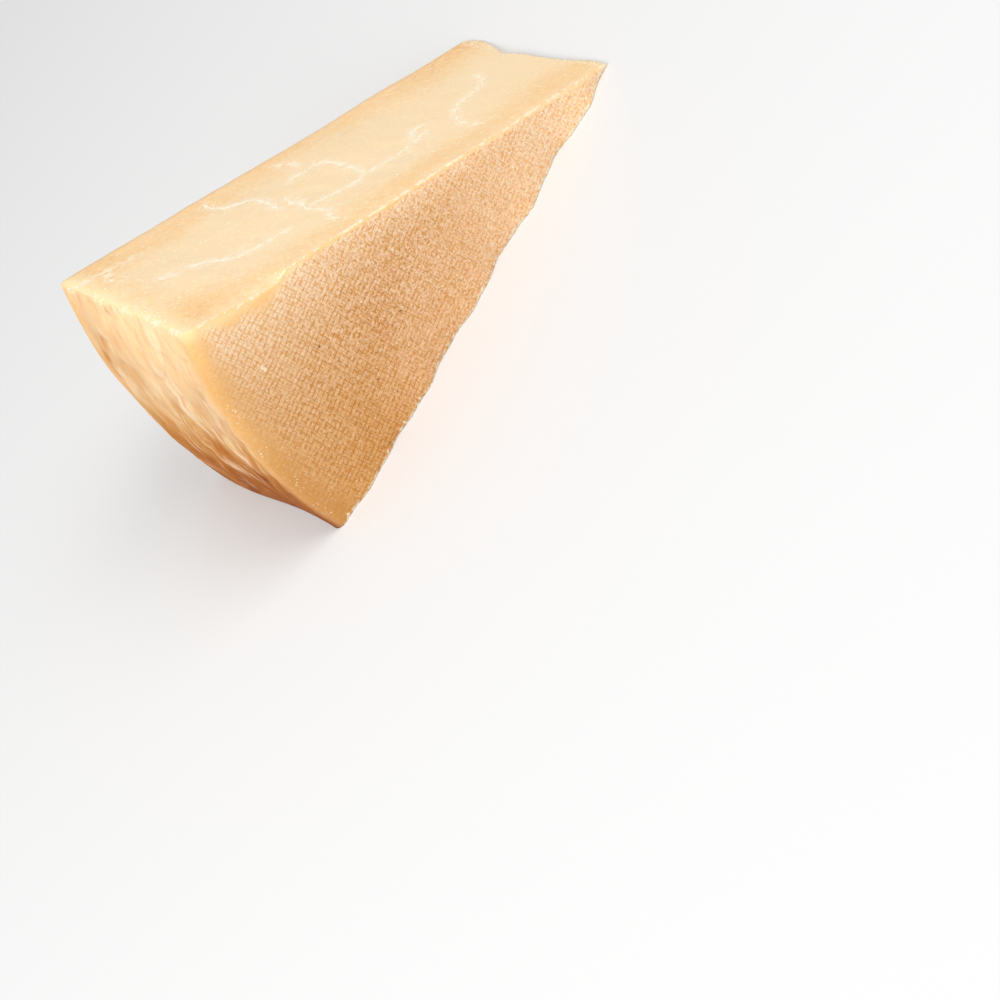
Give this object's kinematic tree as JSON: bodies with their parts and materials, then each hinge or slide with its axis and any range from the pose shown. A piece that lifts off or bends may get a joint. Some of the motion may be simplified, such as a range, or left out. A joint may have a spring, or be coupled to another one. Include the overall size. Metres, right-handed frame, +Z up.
{
  "type": "montasio cheese chunk",
  "caption": "Wedge of firm pale mountain cheese cut from a round wheel, with cloth-marked flat rind and lumpy outer rind, lying on one cut face.",
  "frame": {"origin": "middle of the footprint's box, on the plane of the lower cut face that the wedge rests on", "axes": "+X from the outer rind to the tip, +Y along the wheel's axis from the shown flat rind to the hidden one, +Z up"},
  "size_m": [0.165, 0.0722, 0.0838],
  "materials": {
    "cheese": "pale straw-coloured paste, slightly waxy, with golden cloth-marked rind"
  },
  "bodies": {
    "root": {"cheese_wedge": "cheese"}
  },
  "joints": []
}
